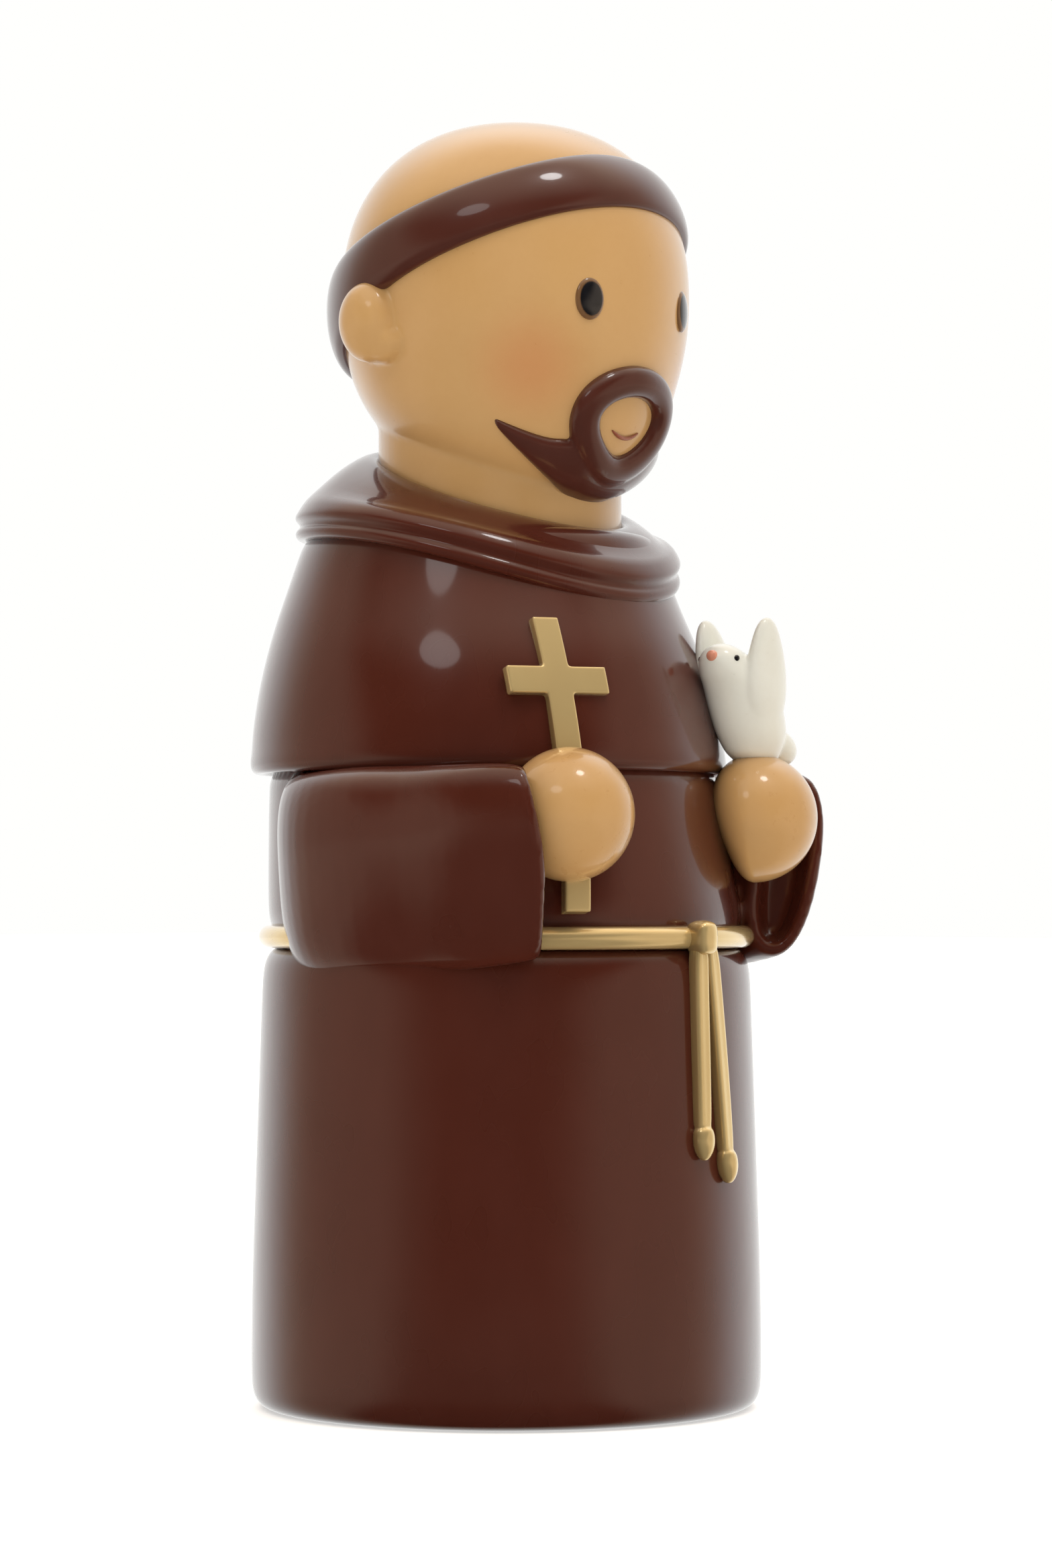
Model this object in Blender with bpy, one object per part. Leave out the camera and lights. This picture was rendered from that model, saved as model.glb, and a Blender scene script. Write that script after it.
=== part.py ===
"""Friar figurine: one painted casting of polyester resin, in metres, +Z up.

The figure stands on its flat foot and faces -Y. The origin is the centre of the foot. Its own
right hand, on -X, holds a cross, and a dove sits on its left hand, on +X. In the functions below,
`front` is a distance towards -Y.
"""

from math import cos, pi, radians, sin, sqrt

import bmesh
import bpy
from mathutils import Matrix, Vector

MM = 0.001

# Habit, from the floor up
FOOT_RADIUS = 25.85 * MM
FOOT_ROUND = 2.0 * MM
SKIRT_HEIGHT = 46.4 * MM
WAIST_STEP = 1.6 * MM
WAIST_RADIUS = 24.75 * MM
SKIRT_TAPER_START = 0.24
TORSO_RADIUS = 24.0 * MM
TORSO_TOP_RADIUS = 22.8 * MM
TORSO_HEIGHT = 17.5 * MM
TORSO_BACKSET = 1.9 * MM

# Cord belt
CORD_THICKNESS = 2.3 * MM
CORD_END_THICKNESS = 2.0 * MM
KNOT_SIZE = 3.4 * MM
LONG_END = 22.8 * MM
SHORT_END = 20.4 * MM
KNOT_SIDE = 0.4 * MM
LONG_END_START, LONG_END_TIP = 1.5 * MM, 4.0 * MM
SHORT_END_START, SHORT_END_TIP = 0.2 * MM, 0.3 * MM

# Cape and collar
CAPE_HEM_RADIUS = 24.1 * MM
CAPE_TOP_RADIUS = 18.6 * MM
CAPE_HEIGHT = 23.6 * MM
CAPE_BELL = 1.35
CAPE_BACKSET = 3.2 * MM
HEM_BACKSET = 2.5 * MM
HEM_LIP = 1.5 * MM
COLLAR_RADIUS = 19.6 * MM
COLLAR_DIP = 7.1 * MM
COLLAR_LIP = 2.2 * MM
COLLAR_TILT = 0.36
COLLAR_RIM = 2.7 * MM

# Head
NECK_RADIUS = 12.4 * MM
NECK_BACKSET = 0.9 * MM
HEAD_HEIGHT = 39.4 * MM
HEAD_RADIUS = 17.75 * MM
HEAD_WIDEST = 0.543
CROWN_POWER = 2.3
JAW_POWER = 2.1
JAW_TOP = 0.34
HEAD_FRONT = 1.2 * MM
CHIN_FRONT = 5.2 * MM
HEAD_LIFT = 26.8 * MM
HAIR_PROUD = 0.95 * MM
HAIR_TOP = 0.728
HAIR_BOTTOM = 0.548
HAIR_TOP_SLOPE = 0.35
HAIR_BROW_SLOPE = 0.43
HAIR_NAPE_SLOPE = 0.62
BEARD_PROUD = 1.0 * MM
BEARD_TURN = 59.3
EAR_HEIGHT = 8.0 * MM
EAR_PROUD = 2.6 * MM
EAR_BACK = 3.6 * MM
EAR_LEVEL = 0.457
EYE_TURN = 23.6
EYE_WIDTH = 3.1 * MM
EYE_HEIGHT = 4.2 * MM
EYE_PROUD = 0.45 * MM
MOUSTACHE_WIDTH = 3.3 * MM
MOUSTACHE_TURN = 22.5
MOUTH_LEVEL = 0.198
MOUSTACHE_RISE = 0.108
EDGE_SINK = 0.15 * MM
PAD_DEPTH = 2.0 * MM

# Arms
HAND_RADIUS = 6.35 * MM
HAND_SIDE = 14.2 * MM
HAND_FRONT = 20.9 * MM
CUFF_TURN = 41.0
CUFF_REACH = 31.9 * MM
CUFF_WIDTH = 7.4 * MM
CUFF_HEIGHT = 18.9 * MM
CUFF_LEAN = 10.0
CUFF_MIDDLE = 0.54

# What the hands hold
CROSS_HEIGHT = 28.8 * MM
CROSS_SPAN = 10.6 * MM
CROSS_WIDTH = 2.7 * MM
CROSS_THICKNESS = 1.3 * MM
CROSS_BOW = 0.7 * MM
CROSS_LEAN = (2.6 * MM, -6.6 * MM)
CROSS_BAR = 0.78
CROSS_TURN = 24.0
DOVE_HEIGHT = 12.0 * MM
DOVE_WIDTH = 7.6 * MM
WING_SPREAD = 7.0 * MM
WING_WIDTH = 6.2 * MM
WING_THICKNESS = 3.0 * MM
TAIL_LENGTH = 5.6 * MM
BEAK_LENGTH = 2.0 * MM

# Levels that follow from the sizes above
BELT_LEVEL = SKIRT_HEIGHT + CORD_THICKNESS / 2
HEM_LEVEL = SKIRT_HEIGHT + TORSO_HEIGHT
CAPE_TOP = HEM_LEVEL + CAPE_HEIGHT
CHIN_LEVEL = HEM_LEVEL + HEAD_LIFT
HAND_LEVEL = HEM_LEVEL - 0.69 * HAND_RADIUS
CUFF_LEVEL = HEM_LEVEL - 0.48 * CUFF_HEIGHT

PAINT = {
    "habit_brown": ((0.095, 0.036, 0.026), 0.16, 0.0),
    "hair_brown": ((0.085, 0.032, 0.026), 0.18, 0.0),
    "skin": ((0.62, 0.36, 0.17), 0.2, 0.0),
    "gold": ((0.52, 0.36, 0.14), 0.32, 0.85),
    "dove_white": ((0.72, 0.71, 0.66), 0.2, 0.0),
    "eye_black": ((0.01, 0.01, 0.012), 0.12, 0.0),
}


def clear_scene():
    for obj in list(bpy.data.objects):
        bpy.data.objects.remove(obj)


def paint(name):
    """The named painted finish, made once."""
    material = bpy.data.materials.get(name)
    if material is None:
        colour, roughness, metallic = PAINT[name]
        material = bpy.data.materials.new(name)
        material.use_nodes = True
        shader = material.node_tree.nodes["Principled BSDF"]
        shader.inputs["Base Color"].default_value = (*colour, 1.0)
        shader.inputs["Roughness"].default_value = roughness
        shader.inputs["Metallic"].default_value = metallic
    return material


def place(side, front, up):
    return Vector((side, -front, up))


def between(a, b, share):
    return a + (b - a) * share


def add_object(name, shape, finish):
    """A closed mesh from bmesh data, with its faces pointing out."""
    bmesh.ops.recalc_face_normals(shape, faces=shape.faces)
    mesh = bpy.data.meshes.new(name)
    shape.to_mesh(mesh)
    shape.free()
    mesh.materials.append(paint(finish))
    mesh.shade_smooth()
    obj = bpy.data.objects.new(name, mesh)
    bpy.context.scene.collection.objects.link(obj)
    return obj


def loft(name, rings, finish, closed=False):
    """A skin over rings of equally many points: capped at both ends, or closed on itself."""
    shape = bmesh.new()
    loops = [[shape.verts.new(point) for point in ring] for ring in rings]
    pairs = list(zip(loops, loops[1:]))
    if closed:
        pairs.append((loops[-1], loops[0]))
    else:
        shape.faces.new(loops[0])
        shape.faces.new(loops[-1])
    for low, high in pairs:
        for i in range(len(low)):
            j = (i + 1) % len(low)
            shape.faces.new((low[i], low[j], high[j], high[i]))
    return add_object(name, shape, finish)


def oval(centre, wide, deep, around):
    """A level ring round a centre: wide along X, deep along Y."""
    turns = [2 * pi * i / around for i in range(around)]
    return [centre + Vector((wide * cos(turn), deep * sin(turn), 0)) for turn in turns]


def turned(name, profile, around, finish):
    """A round solid from triples of radius, level and the distance of its middle to the back."""
    rings = [oval(place(0, -back, up), radius, radius, around) for radius, up, back in profile]
    return loft(name, rings, finish)


def ball(name, centre, radii, finish, across=12, rows=8, turn=Matrix.Identity(4)):
    """An ellipsoid with its three half sizes, turned about its centre."""
    shape = bmesh.new()
    size = Matrix.Diagonal((*radii, 1))
    matrix = Matrix.Translation(centre) @ turn @ size
    bmesh.ops.create_uvsphere(shape, u_segments=across, v_segments=rows, radius=1, matrix=matrix)
    return add_object(name, shape, finish)


def tube(name, path, radii, finish, sides=8, closed=False, flat=1.0, outwards=None):
    """A round or flattened tube along a path. `outwards(i)` gives the direction of its flattened side."""
    rings = []
    count = len(path)
    for i, point in enumerate(path):
        ahead = path[(i + 1) % count] if closed or i + 1 < count else point
        behind = path[i - 1] if closed or i > 0 else point
        along = (ahead - behind).normalized()
        out = outwards(i) if outwards else Vector((0, -1, 0))
        across = along.cross(out).normalized()
        out = across.cross(along)
        angles = [2 * pi * k / sides for k in range(sides)]
        rings.append([point + across * (radii[i] * cos(a)) + out * (radii[i] * flat * sin(a)) for a in angles])
    return loft(name, rings, finish, closed)


def make_habit():
    """Skirt and torso: a plump column with a soft step at the belt, leaning back a little above it."""
    profile = [
        (FOOT_RADIUS - FOOT_ROUND, 0, 0),
        (FOOT_RADIUS - 0.3 * FOOT_ROUND, 0.3 * FOOT_ROUND, 0),
        (FOOT_RADIUS, FOOT_ROUND * 1.2, 0),
        (FOOT_RADIUS, SKIRT_TAPER_START * SKIRT_HEIGHT, 0),
        (between(FOOT_RADIUS, WAIST_RADIUS, 0.6), 0.6 * SKIRT_HEIGHT, 0),
        (WAIST_RADIUS, SKIRT_HEIGHT - 2 * WAIST_STEP, 0),
        (WAIST_RADIUS - 0.1 * WAIST_STEP, SKIRT_HEIGHT - WAIST_STEP, 0),
        (WAIST_RADIUS - 0.5 * WAIST_STEP, SKIRT_HEIGHT - 0.3 * WAIST_STEP, 0),
        (TORSO_RADIUS - 0.3 * CORD_THICKNESS, BELT_LEVEL, 0),
        (TORSO_RADIUS, BELT_LEVEL + CORD_THICKNESS / 2 + WAIST_STEP, 0.15 * TORSO_BACKSET),
        (between(TORSO_RADIUS, TORSO_TOP_RADIUS, 0.35), BELT_LEVEL + 0.45 * TORSO_HEIGHT,
         0.45 * TORSO_BACKSET),
        (TORSO_TOP_RADIUS, HEM_LEVEL, TORSO_BACKSET),
        (TORSO_TOP_RADIUS - HEM_LIP, HEM_LEVEL + 3 * HEM_LIP, TORSO_BACKSET),
        (0.8 * CAPE_TOP_RADIUS, between(HEM_LEVEL, CAPE_TOP, 0.66), CAPE_BACKSET),
    ]
    return turned("habit", profile, 60, "habit_brown")


def make_belt():
    around = 52
    turns = [2 * pi * (i + 0.5) / around for i in range(around)]
    path = [place(TORSO_RADIUS * sin(turn), TORSO_RADIUS * cos(turn), BELT_LEVEL) for turn in turns]
    return tube("belt", path, [CORD_THICKNESS / 2] * around, "gold", 7, closed=True,
                outwards=lambda i: path[i] - Vector((0, 0, BELT_LEVEL)))


def skirt_radius(up):
    """Radius of the skirt at a level between the foot's rounding and the waist."""
    share = min(max(up / SKIRT_HEIGHT - SKIRT_TAPER_START, 0) / (0.94 - SKIRT_TAPER_START), 1)
    return between(FOOT_RADIUS, WAIST_RADIUS, share)


def make_cord_end(name, start, tip, length):
    """One hanging end of the belt: a cord that follows the skirt down to a drop-shaped tip."""
    stem = CORD_END_THICKNESS / 2
    drop = 1.3 * stem
    # Each station: share of the length, radius there
    stations = [(0.0, stem), (0.3, stem), (0.6, stem), (0.83, 0.95 * stem), (0.87, 0.8 * stem),
                (0.91, drop), (0.95, 1.12 * drop), (0.98, 0.8 * drop), (1.0, 0.3 * drop)]
    path = []
    for share, _ in stations:
        up = BELT_LEVEL - length * share
        turn = between(start, tip, share ** 0.8) / skirt_radius(up)
        reach = skirt_radius(up) + 0.45 * stem
        path.append(place(reach * sin(turn), reach * cos(turn), up))
    return tube(name, path, [radius for _, radius in stations], "gold", 7)


def make_knot():
    """The belt's knot, with both of its ends."""
    deep = 0.42 * KNOT_SIZE
    centre = place(KNOT_SIDE, TORSO_RADIUS + deep, BELT_LEVEL)
    return [
        ball("knot", centre, (KNOT_SIZE / 2, deep, KNOT_SIZE / 2), "gold", 10, 7),
        make_cord_end("cord_end_long", LONG_END_START, LONG_END_TIP, LONG_END),
        make_cord_end("cord_end_short", SHORT_END_START, SHORT_END_TIP, SHORT_END),
    ]


def cape_ring(share, reach=None, lift=0.0):
    """A level ring of the cape at a share of its height from the hem up, or one with its own reach."""
    radius = between(CAPE_HEM_RADIUS, CAPE_TOP_RADIUS, share ** CAPE_BELL) if reach is None else reach
    backset = between(HEM_BACKSET, CAPE_BACKSET, min(share * 1.5, 1))
    return oval(place(0, -backset, HEM_LEVEL + share * CAPE_HEIGHT + lift), radius, radius, 45)


def make_cape():
    """The short cape: a drooping bell with a rolled lip along its hem."""
    outer = CAPE_HEM_RADIUS
    # The lip from inside to outside: radius, height above the hem as a share of the lip
    lip = [(TORSO_TOP_RADIUS - 2.5 * MM, 1.0), (outer - 0.9 * HEM_LIP, 0.1), (outer - 0.3 * HEM_LIP, 0.1),
           (outer + 0.1 * HEM_LIP, 0.5), (outer + 0.1 * HEM_LIP, 1.0), (outer - 0.1 * HEM_LIP, 1.6)]
    rings = [cape_ring(0, reach, share * HEM_LIP) for reach, share in lip]
    rings += [cape_ring(step / 8) for step in range(2, 9)]
    return loft("cape", rings, "habit_brown")


def make_collar():
    """The collar: a tilted, thick ring that droops in front, with a rounded lip over the cape."""
    around = 46
    rim = NECK_RADIUS + 0.4 * MM
    sections = []
    for i in range(around):
        turn = 2 * pi * i / around
        low = CAPE_TOP + 0.2 * MM - COLLAR_DIP * ((1 + cos(turn)) / 2) ** 3
        high = CHIN_LEVEL + COLLAR_RIM - COLLAR_TILT * rim * cos(turn)
        profile = [
            (rim - 3 * MM, high - 6 * MM),
            (rim - 1 * MM, high - 0.6 * MM),
            (rim + 0.6 * MM, high),
            (between(rim, COLLAR_RADIUS, 0.42), between(high, low, 0.12)),
            (between(rim, COLLAR_RADIUS, 0.78), between(high, low, 0.42)),
            (COLLAR_RADIUS - 0.35 * MM, low + 1.5 * COLLAR_LIP),
            (COLLAR_RADIUS, low + 0.7 * COLLAR_LIP),
            (COLLAR_RADIUS - 0.35 * MM, low + 0.15 * COLLAR_LIP),
            (COLLAR_RADIUS - 1.6 * MM, low),
            (COLLAR_RADIUS - 7 * MM, low - 1.5 * MM),
        ]
        ring = []
        for radius, up in profile:
            share = min((radius - NECK_RADIUS) / (COLLAR_RADIUS - NECK_RADIUS), 1)
            backset = between(NECK_BACKSET, 0.8 * CAPE_BACKSET, share)
            ring.append(place(radius * sin(turn), radius * cos(turn) - backset, up))
        sections.append(ring)
    return loft("collar", sections, "habit_brown", closed=True)


def head_size(up):
    """Radius of the head and how far its middle lies to the front, at a level above the chin."""
    widest = HEAD_WIDEST * HEAD_HEIGHT
    if up > widest:
        share, power = (up - widest) / (HEAD_HEIGHT - widest), CROWN_POWER
    else:
        share, power = (widest - up) / widest, JAW_POWER
    radius = HEAD_RADIUS * max(1 - min(share, 1) ** power, 0) ** (1 / power)
    jaw = max(1 - up / (JAW_TOP * HEAD_HEIGHT), 0)
    return radius, HEAD_FRONT + (CHIN_FRONT - HEAD_FRONT) * jaw ** 1.6


def on_head(turn, up, proud=0.0):
    """A point of the head's skin: `turn` from the front towards +X, `up` above the chin."""
    radius, front = head_size(up)
    fine = 0.2 * MM
    slope = (head_size(up + fine)[0] - head_size(up - fine)[0]) / (2 * fine)
    size = sqrt(1 + slope * slope)
    radius += proud / size
    return place(radius * sin(turn), front + radius * cos(turn), CHIN_LEVEL + up - proud * slope / size)


def make_head():
    levels = [0.006, 0.035, 0.085, 0.15, 0.23, 0.32, 0.42, 0.53, 0.63, 0.72, 0.8, 0.87, 0.925, 0.965, 0.992]
    rings = []
    for share in levels:
        radius, front = head_size(share * HEAD_HEIGHT)
        rings.append(oval(place(0, front, CHIN_LEVEL + share * HEAD_HEIGHT), radius, radius, 38))
    head = loft("head", rings, "skin")
    levels = (CAPE_TOP - 4 * MM, CHIN_LEVEL + 0.1 * HEAD_HEIGHT, CHIN_LEVEL + 0.28 * HEAD_HEIGHT)
    neck = turned("neck", [(NECK_RADIUS, up, NECK_BACKSET) for up in levels], 32, "skin")
    return [head, neck]


def pad_on_head(turn, lower, upper, proud, rows=6):
    """A raised, rounded section on the head's skin between two levels, with its back sunk into the head."""
    ring = []
    for row in range(rows + 1):
        angle = pi * row / rows
        up = between(lower, upper, (1 - cos(angle)) / 2)
        ring.append(on_head(turn, up, proud * sin(angle) ** 0.6 - EDGE_SINK))
    for share in (0.7, 0.3):
        ring.append(on_head(turn, between(lower, upper, share), -PAD_DEPTH))
    return ring


def make_hair():
    """The ring of hair round the tonsure: high over the brow, low and deep at the nape."""
    around = 40
    sections = []
    for i in range(around):
        turn = 2 * pi * i / around
        front = HEAD_RADIUS * cos(turn)
        upper = HAIR_TOP * HEAD_HEIGHT + HAIR_TOP_SLOPE * front
        lower = HAIR_BOTTOM * HEAD_HEIGHT + (HAIR_BROW_SLOPE if front > 0 else HAIR_NAPE_SLOPE) * front
        sections.append(pad_on_head(turn, lower, upper, HAIR_PROUD * (1.35 - 0.35 * cos(turn))))
    return loft("hair", sections, "hair_brown", closed=True)


def make_ears():
    ears = []
    for name, side in (("ear_right", -1), ("ear_left", 1)):
        centre = place(side * HEAD_RADIUS, HEAD_FRONT - EAR_BACK, CHIN_LEVEL + EAR_LEVEL * HEAD_HEIGHT)
        ears.append(ball(name, centre, (EAR_PROUD, 0.4 * EAR_HEIGHT, EAR_HEIGHT / 2), "skin"))
    return ears


def make_moustache():
    """A rounded ring of hair round the mouth."""
    around = 26
    arch = []
    for i in range(around):
        turn = 2 * pi * (i + 0.5) / around
        up = (MOUTH_LEVEL + MOUSTACHE_RISE * cos(turn)) * HEAD_HEIGHT
        arch.append(on_head(radians(MOUSTACHE_TURN) * sin(turn), up))
    middle = place(0, HEAD_FRONT, CHIN_LEVEL + 0.3 * HEAD_HEIGHT)
    return tube("moustache", arch, [MOUSTACHE_WIDTH / 2] * around, "hair_brown", 6, closed=True,
                flat=2.5 * BEARD_PROUD / MOUSTACHE_WIDTH, outwards=lambda i: arch[i] - middle)


def make_chin_beard():
    """The beard under the mouth: it fills the chin and ends in a point along each jaw."""
    count = 20
    sections = []
    for i in range(count):
        share = abs(2 * i / (count - 1) - 1)
        turn = radians(BEARD_TURN) * (2 * i / (count - 1) - 1)
        inside = share * BEARD_TURN / MOUSTACHE_TURN
        upper = 0.16 + 0.048 * (max(share - 0.6, 0) / 0.4) ** 1.5
        if inside < 1:
            upper = min(upper, MOUTH_LEVEL - MOUSTACHE_RISE * sqrt(1 - inside ** 2))
        lower = 0.03 + 0.165 * share ** 3.6
        proud = 1.15 * BEARD_PROUD * (1 - 0.7 * share ** 6)
        sections.append(pad_on_head(turn, lower * HEAD_HEIGHT, upper * HEAD_HEIGHT, proud))
    return loft("chin_beard", sections, "hair_brown")


def make_eyes():
    """Two calm oval eyes on the halfway line of the head."""
    eyes = []
    for name, side in (("eye_right", -1), ("eye_left", 1)):
        turn = side * radians(EYE_TURN)
        centre = on_head(turn, HEAD_HEIGHT / 2, -EYE_PROUD)
        spin = Matrix.Rotation(turn, 4, "Z")
        size = (EYE_WIDTH / 2, 2 * EYE_PROUD, EYE_HEIGHT / 2)
        eyes.append(ball(name, centre, size, "eye_black", 10, 6, spin))
    return eyes


def sleeve_ring(side, turn, reach, half_wide, half_high, level, around=20):
    """An upright ring across a sleeve, `turn` degrees round from the front, with its top leaning out."""
    lean = radians(CUFF_LEAN)
    points = []
    for i in range(around):
        c, s = cos(2 * pi * i / around), sin(2 * pi * i / around)
        out = half_wide * abs(c) ** 0.85 * (1 if c > 0 else -1)
        rise = half_high * abs(s) ** 0.85 * (1 if s > 0 else -1)
        distance = reach + out * cos(lean) + rise * sin(lean)
        up = level + rise * cos(lean) - out * sin(lean)
        points.append(place(side * distance * sin(radians(turn)), distance * cos(radians(turn)), up))
    return points


def make_sleeves():
    """Bell sleeves: each leaves the body at the side of the back, follows it and hangs open in front."""
    cuff_reach = between(TORSO_RADIUS, CUFF_REACH, CUFF_MIDDLE)
    half_wide, half_high = CUFF_WIDTH / 2, CUFF_HEIGHT / 2
    # Each station: degrees from the front, outer reach, half width, half height, rise of the middle
    stations = [
        (119, 0.733, 0.75, 0.36, 0.33), (112, 0.784, 1.05, 0.66, 0.23), (101, 0.822, 1.2, 0.93, 0.1),
        (86, 0.844, 1.25, 1.06, 0.0), (70, 0.875, 1.3, 1.06, -0.02), (56, 0.937, 1.2, 1.04, -0.015),
        (47, 0.979, 1.06, 1.02, 0.0),
    ]
    # Each step of the cuff's rim: inset in millimetres, degrees back from the opening
    rim = [(0.0, 1.6), (0.25, 0.4), (0.8, 0.0), (1.3, 0.4), (1.7, 1.8), (2.3, 5.0)]
    sleeves = []
    for name, side in (("sleeve_right", -1), ("sleeve_left", 1)):
        rings = []
        for turn, reach, wide, high, rise in stations:
            middle = CUFF_REACH * reach - half_wide * wide
            rings.append(sleeve_ring(side, turn, middle, half_wide * wide, half_high * high,
                                     CUFF_LEVEL + rise * CUFF_HEIGHT))
        for inset, back in rim:
            rings.append(sleeve_ring(side, CUFF_TURN + back, cuff_reach, half_wide - inset * MM,
                                     half_high - inset * MM, CUFF_LEVEL))
        sleeves.append(loft(name, rings, "habit_brown"))
    return sleeves


def make_hands():
    hands = []
    for name, side in (("hand_right", -1), ("hand_left", 1)):
        centre = place(side * HAND_SIDE, HAND_FRONT, HAND_LEVEL)
        hands.append(ball(name, centre, (HAND_RADIUS,) * 3, "skin", 18, 10))
    return hands


def make_cross():
    """The cross stands through the right fist, leans back against the chest and bends a little with it."""
    foot = place(-HAND_SIDE + 0.2 * MM, HAND_FRONT + 0.7 * MM, HAND_LEVEL - 1.5 * HAND_RADIUS)
    rise = place(*CROSS_LEAN, CROSS_HEIGHT)
    across = place(cos(radians(CROSS_TURN)), sin(radians(CROSS_TURN)), 0)
    face = across.cross(rise.normalized())
    bar = CROSS_BAR * CROSS_HEIGHT
    half = CROSS_WIDTH / 2
    arm = CROSS_SPAN / 2
    right = [(half, 0), (half, 0.3 * CROSS_HEIGHT), (half, 0.55 * CROSS_HEIGHT), (half, bar - half),
             (arm, bar - half), (arm, bar + half), (half, bar + half), (half, CROSS_HEIGHT)]
    outline = right + [(-x, y) for x, y in reversed(right)]
    rings = []
    for depth in (-CROSS_THICKNESS / 2, CROSS_THICKNESS / 2):
        ring = []
        for x, y in outline:
            share = y / CROSS_HEIGHT
            bow = 4 * share * (1 - share) * CROSS_BOW
            ring.append(foot + rise * share + across * (x + bow) + face * (depth + bow))
        rings.append(ring)
    return loft("cross", rings, "gold")


def make_dove():
    """The dove sits on the left fist, looks to the middle and holds both wings up."""
    seat = place(HAND_SIDE - 1.2 * MM, HAND_FRONT - 1.2 * MM, HAND_LEVEL + 0.86 * HAND_RADIUS)
    half = DOVE_WIDTH / 2
    # Each station: share of the height, lean towards the middle in millimetres, half length, half width
    stations = [(0.0, 0.0, 0.78, 0.74), (0.1, 0.1, 0.92, 0.86), (0.3, 0.5, 1.04, 0.98),
                (0.52, 1.3, 1.06, 0.98), (0.7, 2.3, 0.98, 0.86), (0.84, 3.2, 0.84, 0.74),
                (0.94, 3.7, 0.6, 0.54), (0.995, 3.8, 0.24, 0.22)]
    rings = []
    for share, lean, long, wide in stations:
        rings.append(oval(seat + place(-lean * MM, 0, share * DOVE_HEIGHT), half * long, half * wide, 14))
    pieces = [loft("dove_body", rings, "dove_white")]
    for name, side in (("wing_front", 1), ("wing_back", -1)):
        centre = seat + place(0.5 * MM, side * 0.42 * WING_SPREAD, 0.75 * DOVE_HEIGHT)
        turn = Matrix.Rotation(side * radians(9), 4, "X") @ Matrix.Rotation(radians(4), 4, "Y")
        size = (WING_WIDTH / 2, WING_THICKNESS / 2, 0.43 * DOVE_HEIGHT)
        pieces.append(ball(name, centre, size, "dove_white", 10, 8, turn))
    turn = Matrix.Rotation(radians(25), 4, "Y")
    size = (TAIL_LENGTH / 2, 0.36 * TAIL_LENGTH, 0.29 * TAIL_LENGTH)
    rump = seat + place(4.4 * MM, 0, 0.12 * DOVE_HEIGHT)
    pieces.append(ball("tail", rump, size, "dove_white", 10, 6, turn))
    size = (BEAK_LENGTH / 2, 0.35 * BEAK_LENGTH, 0.3 * BEAK_LENGTH)
    tip = seat + place(-3.7 * MM - 0.78 * half, 0, 0.83 * DOVE_HEIGHT)
    pieces.append(ball("beak", tip, size, "skin", 8, 6))
    return pieces


def fuse(body, pieces):
    """Joins every piece to the body, since the figure is one casting."""
    for piece in pieces:
        join = body.modifiers.new(piece.name, "BOOLEAN")
        join.operation = "UNION"
        join.solver = "EXACT"
        join.material_mode = "TRANSFER"
        join.object = piece
        piece.hide_render = True
        piece.display_type = "WIRE"


def main():
    clear_scene()
    statue = make_habit()
    statue.name = "statue"
    pieces = [make_cape(), make_collar(), *make_head(), make_hair(), *make_ears()]
    pieces += [make_moustache(), make_chin_beard(), *make_eyes(), *make_sleeves(), *make_hands()]
    pieces += [make_cross(), *make_dove(), make_belt(), *make_knot()]
    fuse(statue, pieces)


main()
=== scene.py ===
"""Friar figurine: the lacquered, hand-painted surface over its CAD casting, with a pale studio round it."""

from math import atan, cos, pi, radians, sin, sqrt

import bmesh
import bpy
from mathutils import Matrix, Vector


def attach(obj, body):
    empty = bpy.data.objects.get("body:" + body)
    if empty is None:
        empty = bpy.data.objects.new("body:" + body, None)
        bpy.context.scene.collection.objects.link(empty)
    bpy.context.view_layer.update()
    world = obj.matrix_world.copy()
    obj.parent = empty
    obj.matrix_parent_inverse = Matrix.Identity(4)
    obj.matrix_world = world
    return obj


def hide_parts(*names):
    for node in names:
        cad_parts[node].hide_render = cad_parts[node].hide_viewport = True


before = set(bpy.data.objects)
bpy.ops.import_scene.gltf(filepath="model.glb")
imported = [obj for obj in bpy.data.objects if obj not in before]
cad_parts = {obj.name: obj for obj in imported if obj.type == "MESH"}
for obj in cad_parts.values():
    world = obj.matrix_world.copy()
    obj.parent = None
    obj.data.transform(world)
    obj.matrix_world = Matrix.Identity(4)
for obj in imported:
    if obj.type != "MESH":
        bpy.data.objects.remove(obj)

bl_info = {
    "name": "Friar Figurine",
    "version": (1, 0, 0),
    "blender": (4, 5, 0),
    "location": "View3D > Sidebar > Figurine",
    "description": "Models and paints a small lacquered friar with a cross and a dove",
    "category": "Add Mesh",
}

MM = 0.001
NODE = "statue"
BODY = "root"
# Middle of a hand: how far aside, how far to the front, and how far under the cape's hem
HAND_ASIDE = 14.2 * MM
HAND_FRONT = 20.9 * MM
HAND_DROP = 4.38 * MM
# Degrees from the figure's front to the camera, towards the figure's right
CAMERA_TURN = 48


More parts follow.
